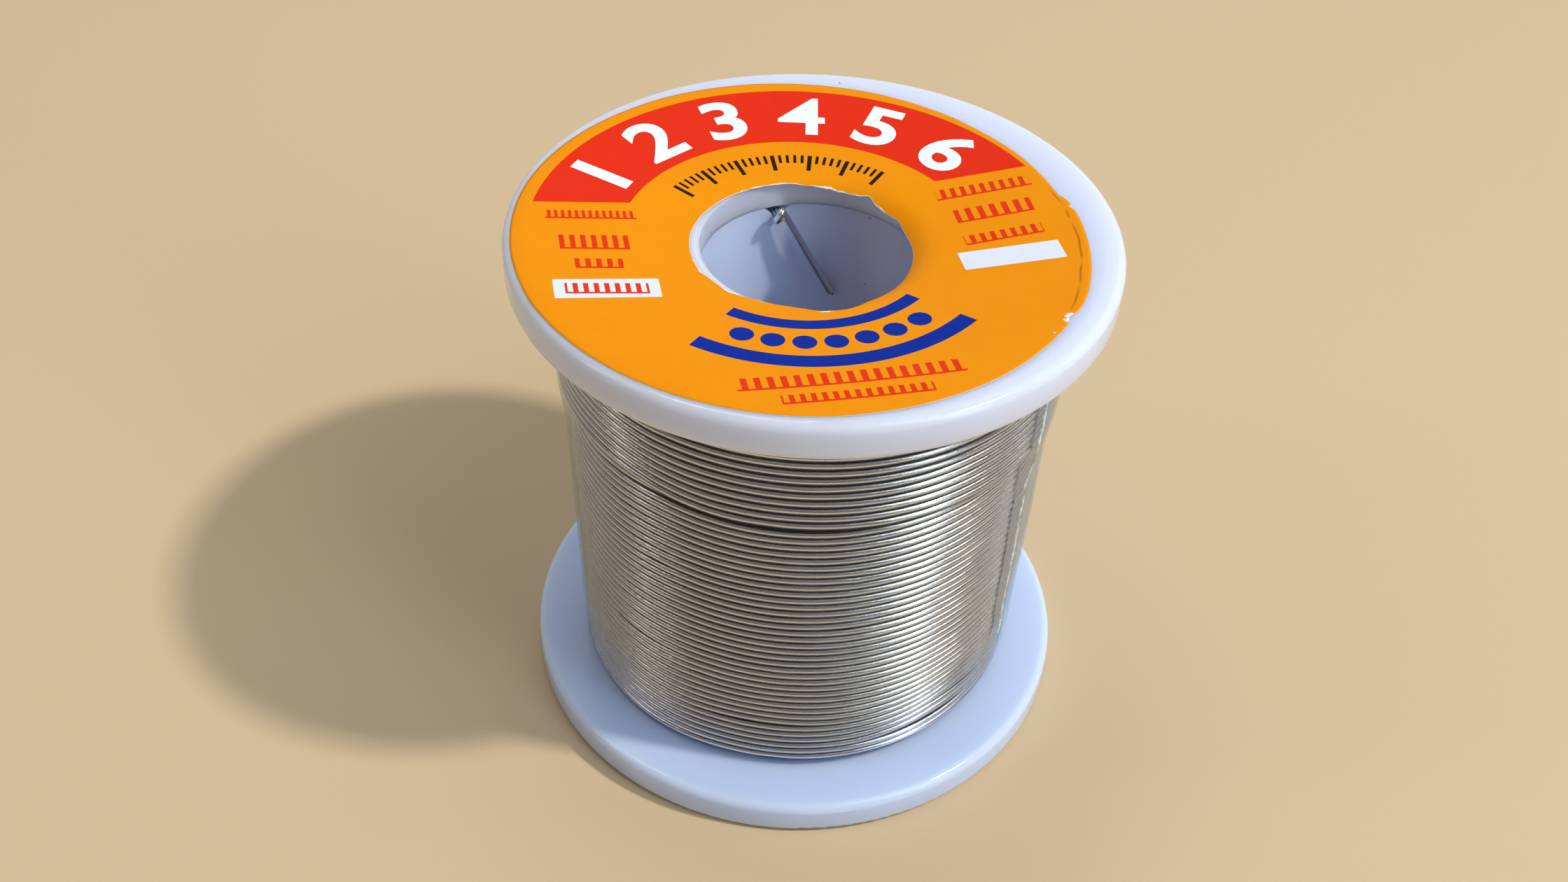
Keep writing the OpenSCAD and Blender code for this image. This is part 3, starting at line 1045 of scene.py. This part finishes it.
def wrap_end_fold():
    """The wrap's free end: a narrow crushed fold that sparkles down the right-hand side."""
    draw = random.Random(31)
    rows, sides = 150, 6
    points = []
    for n in range(rows + 1):
        z = FOLD_LOW + (FOLD_HIGH - FOLD_LOW) * n / rows
        angle = WRAP_END - end_slant(z) + noise.noise(Vector((z * 0.35, 2.0, 8.0)))
        wide = FOLD_HALF_W + 0.16 * noise.noise(Vector((z * 1.3, 5.0, 1.0))) + draw.uniform(-0.05, 0.05)
        if n in (0, rows):
            wide = 0.04
        r = wrap_r(z) + FOLD_OFF + draw.uniform(-0.03, 0.03)
        middle = polar(r, angle, z)
        out, aside = polar(1, angle, 0), polar(1, angle + 90, 0)
        for i in range(sides):
            t = 2 * math.pi * i / sides
            points.append(middle + out * FOLD_HALF_T * math.sin(t) + aside * wide * math.cos(t))
    faces = grid(0, rows + 1, sides)
    faces.append(tuple(reversed(range(sides))))
    faces.append(tuple(rows * sides + i for i in range(sides)))
    made = piece("wrap_end_fold", points, faces, [wrap_fold])
    made.visible_shadow = False


wrap_end_fold()

# ============================================================== finishes of the solids
FINISHES = {
    "lower_flange": low_plastic, "upper_flange": plastic, "hub_barrel": barrel_plastic,
    "face_label": print_face, "wire_top_band": band_solder, "wire_layer_15": full_solder,
    "wire_start_tail": loose_solder, "tail_flux_core": flux, "film_wrap": wrap,
}
for name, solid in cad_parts.items():
    finish = FINISHES.get(name, packed_solder)
    for n in range(max(1, len(solid.material_slots))):
        if not solid.material_slots:
            solid.data.materials.append(finish.material)
        else:
            solid.material_slots[n].material = finish.material


# ============================================================== floor and light
FLOOR_HALF = 1500
REEL_MIDDLE = Vector((0, 0, 0.027))
# Soft boxes: name, azimuth, elevation, distance, width and height in metres, watts, colour
LAMPS = [
    ("key", -12, 51, 2.5, 0.15, 0.15, 38.5, (1.0, 0.975, 0.94)),
    ("window", -38, 36, 0.8, 0.25, 1.2, 2.8, (0.66, 0.84, 1.0)),
    ("strip", 9, 24, 0.8, 0.035, 0.45, 0.18, (0.82, 0.92, 1.0)),
    ("top", 120, 72, 0.9, 0.5, 0.09, 1.0, (0.95, 0.97, 1.0)),
    ("left", -170, 40, 0.9, 0.1, 0.6, 0.45, (0.94, 0.97, 1.0)),
]


def floor():
    """A plain pale floor."""
    s = Shader("floor_paint")
    s.finish(s.body(Base_Color=rgb(208, 183, 146), Roughness=0.75, Specular_IOR_Level=0.2))
    mesh = bpy.data.meshes.new("floor")
    signs = [(-1, -1), (1, -1), (1, 1), (-1, 1)]
    mesh.from_pydata([(i * FLOOR_HALF * MM, j * FLOOR_HALF * MM, 0) for i, j in signs], [], [(0, 1, 2, 3)])
    mesh.materials.append(s.material)
    made = placed("floor", mesh)


def lamp(name, azimuth, elevation, far, wide, high, watts, colour):
    """A soft box that looks at the middle of the reel."""
    data = bpy.data.lights.new(name, "AREA")
    data.shape = "RECTANGLE"
    data.size, data.size_y = wide, high
    data.energy = watts
    data.color = colour
    made = placed(name, data)
    a, e = math.radians(azimuth), math.radians(elevation)
    towards = Vector((math.cos(a) * math.cos(e), math.sin(a) * math.cos(e), math.sin(e)))
    made.location = towards * far + REEL_MIDDLE
    made.rotation_mode = "QUATERNION"
    made.rotation_quaternion = towards.to_track_quat("Z", "Y")
    made.visible_camera = False


def room_light():
    """Soft light from all round: a little more from above and from the window's side."""
    s = Shader("room_light", bpy.data.worlds, "OutputWorld")
    x, y, z = s.axes(s.node("TexCoord", out="Generated"))
    up = z.scaled(0.0, 1.0, 0.0, 1.0)
    behind = y.scaled(-0.2, 0.9, 0.0, 1.0)
    rightward = x.scaled(0.1, 0.9, 0.0, 1.0)
    leftward = x.scaled(0.2, -0.9, 0.0, 1.0)
    cool = (up * 0.5 + behind + rightward).least(1.0)
    tone = s.mix(cool, (0.985, 0.965, 0.985, 1), (0.88, 0.94, 1.0, 1))
    tone = s.mix(leftward * 0.7, tone, (1.0, 0.95, 0.93, 1))
    bright = 0.22 + up * 0.12 + behind * 0.36 - leftward * 0.09
    s.finish(s.node("Background", {}, {0: tone, 1: bright}))
    bpy.context.scene.world = s.material


floor()
room_light()
for row in LAMPS:
    lamp(*row)

bpy.context.scene.view_settings.view_transform = "Standard"
